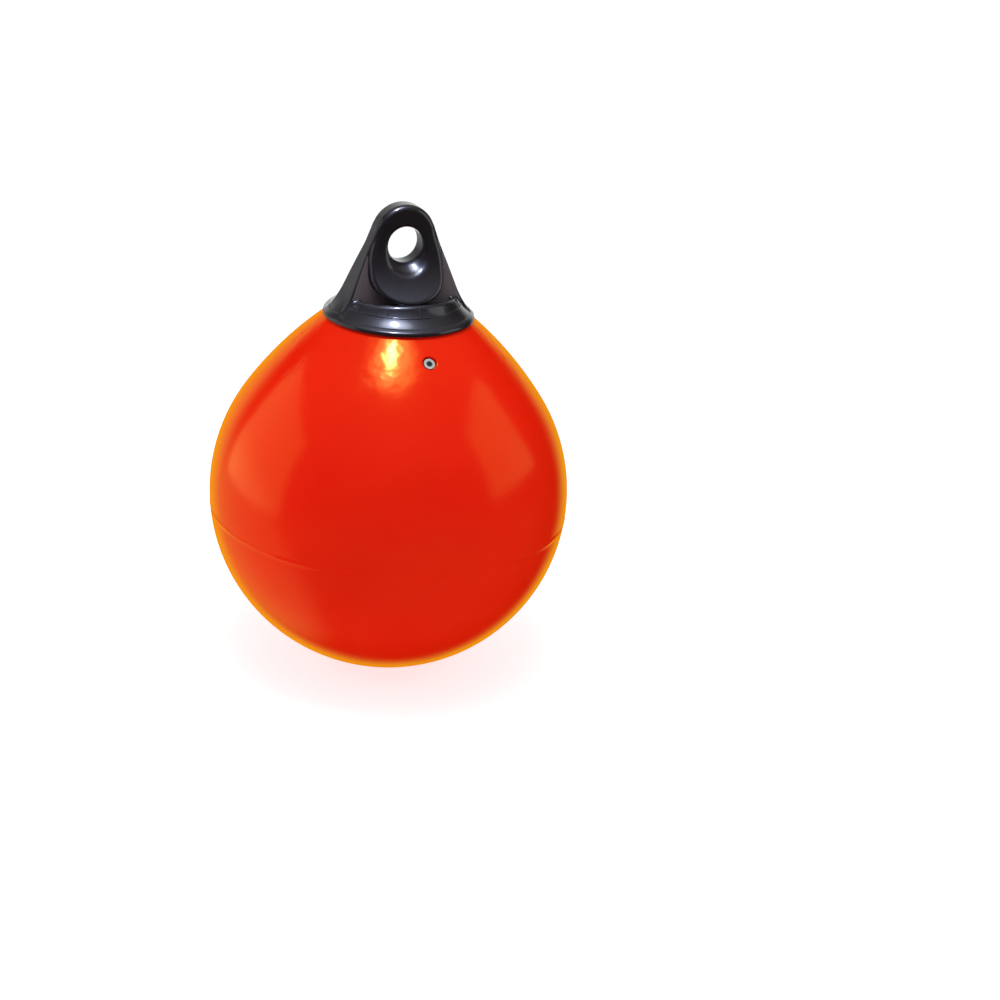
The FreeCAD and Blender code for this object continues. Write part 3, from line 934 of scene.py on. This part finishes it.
def sheen_and_matt_group():
    """Mask: the web's flat faces, for painted sheen. Matt: these and faces that look sideways."""
    group, given, result = new_group(
        "sheen_and_matt", {"Lean": WEB_LEAN},
        {"Mask": "NodeSocketFloat", "Matt": "NodeSocketFloat"})
    coordinates = add_node(group, "TexCoord", {}).outputs
    place = add_node(group, "SeparateXYZ", {"Vector": coordinates["Object"]}).outputs
    facing = add_node(group, "SeparateXYZ", {"Vector": coordinates["Normal"]}).outputs
    lean = maths(group, "MULTIPLY", place["Z"], given.outputs["Lean"])
    depth = maths(group, "ADD", maths(group, "ABSOLUTE", place["Y"]), lean)

    def fade(value, limits):
        """A mask that goes softly from 0 to 1 between two limits."""
        return ranged(group, value, *limits, curve="SMOOTHSTEP")

    thin = fade(depth, [(WEB_HALF + over) * MM for over in WEB_FADE])
    flat = fade(maths(group, "ABSOLUTE", facing["Y"]), FACING_FADE)
    above = fade(place["Z"], FOOT_FADE_Z)
    mask = maths(group, "MULTIPLY", maths(group, "MULTIPLY", thin, flat), above)
    sideways = fade(maths(group, "ABSOLUTE", facing["X"]), SIDEWAYS_FADE)
    feed(group, result.inputs["Mask"], mask)
    feed(group, result.inputs["Matt"], maths(group, "MAXIMUM", mask, sideways))
    return group


# %% Put the mask and the painted sheen into the black vinyl
def add_sheen_and_matt(tree, shader):
    """Painted sheen, a paler colour, on the flat faces, and no coat on all the matt ones."""
    sheen_and_matt = add_node(tree, "Group", {}, node_tree=sheen_and_matt_group())
    tone = shader.inputs["Base Color"].links[0].from_socket
    # The flat faces get a paler colour: painted sheen for the light from above that they catch.
    painted_sheen = add_node(tree, "Mix", {"Factor": sheen_and_matt.outputs["Mask"], 6: tone, 7: WEB_PAINTED_SHEEN},
                     data_type="RGBA")
    feed(tree, shader.inputs["Base Color"], painted_sheen.outputs[2])
    coat = maths(tree, "SUBTRACT", 1.0, sheen_and_matt.outputs["Matt"])
    feed(tree, shader.inputs["Coat Weight"], coat)
    print("mask group:", sheen_and_matt.node_tree.name)


add_sheen_and_matt(black_vinyl.node_tree, black_shader)

# %% [markdown]
# ### Small parts of the valve
# The valve's bush is pale plastic, its screw dark plastic, and a rubber ring seals between them.
# Their CAD meshes are exact and small, so they are kept and only get their materials, with a finer
# grain than the big pieces.

# %% Materials of the valve
valve_materials = {
    "valve_bush": moulded_material(
        "light_grey_plastic", main=(0.40, 0.44, 0.43), other=(0.32, 0.36, 0.35), tone_scale=160.0,
        wave_scale=60.0, grain=(2500.0, 0.05), rough=(0.35, 0.45), bump=(0.25, 0.0004)),
    "valve_screw": moulded_material(
        "dark_plastic", main=(0.008, 0.034, 0.032), other=(0.005, 0.02, 0.02), tone_scale=220.0,
        wave_scale=80.0, grain=(3000.0, 0.05), rough=(0.25, 0.40), bump=(0.25, 0.0003)),
    "valve_seal": moulded_material(
        "seal_rubber", main=(0.02, 0.02, 0.02), other=(0.03, 0.03, 0.03), tone_scale=200.0,
        wave_scale=90.0, grain=(3000.0, 0.1), rough=(0.55, 0.70), bump=(0.25, 0.0003))}
for node, (material, _) in valve_materials.items():
    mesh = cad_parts[node].data
    mesh.materials.clear()
    mesh.materials.append(material)
    print(node, "gets", material.name)

# %% [markdown]
# ## Floor
# The fender stands on a plain pale floor with a soft shadow. The floor glows a little, which keeps
# it white under the weak light of the room, and it is left out of reflections, so that it doesn't
# brighten the underside of the ball.

# %% A pale floor under the ball
FLOOR_HALF = 14.0
FLOOR_GLOW = 0.72

floor_z = (ball_z - BALL_RADIUS) * MM
corners = [(-FLOOR_HALF, -FLOOR_HALF, floor_z), (FLOOR_HALF, -FLOOR_HALF, floor_z),
           (FLOOR_HALF, FLOOR_HALF, floor_z), (-FLOOR_HALF, FLOOR_HALF, floor_z)]
floor_mesh = bpy.data.meshes.new("floor")
floor_mesh.from_pydata(corners, [], [(0, 1, 2, 3)])
floor = add_object("floor", floor_mesh)
floor.visible_glossy = False
pale_floor = bpy.data.materials.new("pale_floor")
pale_floor.use_nodes = True
for label, value in (("Base Color", (0.5, 0.5, 0.5, 1.0)), ("Roughness", 0.6),
                     ("Specular IOR Level", 0.0), ("Emission Color", (1.0, 1.0, 1.0, 1.0)),
                     ("Emission Strength", FLOOR_GLOW)):
    pale_floor.node_tree.nodes["Principled BSDF"].inputs[label].default_value = value
floor_mesh.materials.append(pale_floor)
bpy.context.scene.view_settings.view_transform = "Standard"
print("floor at", round(floor_z, 4), "m")

# %% [markdown]
# ## Room
# A white room lights the fender evenly. Its reflections can't be even too, or the vinyl would look
# like milk. So a Light Path node gives glossy rays a room of their own, dark but for a few glows:
# the backdrop behind the fender, which makes the ball's yellow rim, one to the left behind, a
# ceiling, and a strong small one overhead, which makes the halo of the bright spot. Rays from the
# camera see plain white.

# %% Glows of the room
EVEN_LIGHT = 0.62
BACKDROP = 1.05


def direction(azimuth, elevation):
    """Unit vector to a place in the room; azimuth 0 is the front, -Y, and 90 is +X."""
    turn, rise = math.radians(azimuth), math.radians(elevation)
    return Vector((math.sin(turn) * math.cos(rise), -math.cos(turn) * math.cos(rise),
                   math.sin(rise)))


# Each glow has its direction, the cosines where it starts and where it is full, and its strength.
GLOWS = ((direction(165.0, -15.0), 0.62, 0.86, 1.0),
         (direction(-125.0, -32.0), 0.72, 0.90, 0.75),
         (Vector((0.0, 0.0, 1.0)), 0.35, 1.0, 0.4),
         (direction(-31.0, 79.0), 0.945, 0.998, 9.0))

# %% The world's nodes
world = bpy.data.worlds.new("white_room")
world.use_nodes = True
world.cycles.sampling_method = "NONE"
room = world.node_tree
place = add_node(room, "TexCoord", {}).outputs["Generated"]
reflected = 0.0
for way, low, high, strength in GLOWS:
    towards = add_node(room, "VectorMath", {0: place, 1: way}, operation="DOT_PRODUCT")
    glow = ranged(room, towards.outputs["Value"], low, high, to_high=strength,
                  curve="SMOOTHSTEP")
    reflected = maths(room, "MAXIMUM", reflected, glow)
ray = add_node(room, "LightPath", {}).outputs
light = add_node(room, "Mix", {"Factor": ray["Is Glossy Ray"], 2: EVEN_LIGHT, 3: reflected})
seen = add_node(room, "Mix", {"Factor": ray["Is Camera Ray"], 2: light.outputs[0], 3: BACKDROP})
background = room.nodes["Background"]
feed(room, background.inputs["Strength"], seen.outputs[0])
feed(room, background.inputs["Color"], (1.0, 1.0, 1.0, 1.0))
bpy.context.scene.world = world
print("room with", len(GLOWS), "glows")

# %% [markdown]
# ## Lamps
# Two large soft panels left and right draw the broad lighter fields on the ball. A small strong
# lamp above makes the bright spot on its shoulder and on the collar. It only makes reflections,
# and a wide card next to it, which is left out of reflections, gives the soft light from above.


# %% Soft panels and the top lamps
def panel(name, azimuth, elevation, distance, width, height, radiance, plumb=False,
          colour=(1.0, 1.0, 1.0)):
    """An area lamp in a direction from the ball's centre, turned to it unless it stands plumb."""
    way = direction(azimuth, elevation)
    lamp = bpy.data.lights.new(name, "AREA")
    lamp.shape = "RECTANGLE"
    lamp.size, lamp.size_y = width, height
    lamp.energy = radiance * math.pi * width * height
    lamp.color = colour
    thing = add_object(name, lamp)
    thing.location = Vector((0.0, 0.0, ball_z * MM)) + way * distance
    thing.rotation_mode = "QUATERNION"
    facing = direction(azimuth, 0.0) if plumb else way
    thing.rotation_quaternion = (-facing).to_track_quat("-Z", "Y")
    print(name, "at", [round(value, 2) for value in thing.location])
    return thing


panel("left_panel", azimuth=-112.0, elevation=16.5, distance=2.09, width=2.0, height=1.75,
      radiance=1.2, plumb=True)
panel("right_panel", azimuth=65.0, elevation=28.0, distance=2.265, width=1.46, height=1.59,
      radiance=1.05, plumb=True)
top_lamp = panel("top_lamp", azimuth=-33.0, elevation=76.0, distance=2.0, width=0.12, height=0.30,
                 radiance=350.0, colour=(0.62, 0.68, 1.0))
top_lamp.visible_diffuse = False
top_card = panel("top_card", azimuth=-31.0, elevation=76.0, distance=2.05, width=1.4, height=0.75,
                 radiance=6.0)
top_card.visible_glossy = False

# %% [markdown]
# ## Camera
# The camera looks from the front left and from a little above, with a lens of about 66 mm on a
# sensor 36 mm wide. It is rolled a few degrees, because its place, aim, lens and roll were all
# fitted together until the outline of the fender was right.

# %% Camera
CAMERA_PLACE = Vector((-0.8815, -2.4220, 0.7078))
CAMERA_AIM = Vector((0.1561, -0.0649, -0.3910))
CAMERA_ROLL = math.radians(4.54)
SENSOR_WIDTH = 36.0
LENS = 66.17

camera_data = bpy.data.cameras.new("camera")
camera_data.sensor_width = SENSOR_WIDTH
camera_data.lens = LENS
camera = add_object("camera", camera_data)
camera.location = CAMERA_PLACE
camera.rotation_mode = "QUATERNION"
level = (CAMERA_AIM - CAMERA_PLACE).to_track_quat("-Z", "Y")
camera.rotation_quaternion = level @ Quaternion((0.0, 0.0, 1.0), CAMERA_ROLL)
bpy.context.scene.camera = camera
print("camera looks from", [round(value, 3) for value in camera.location])
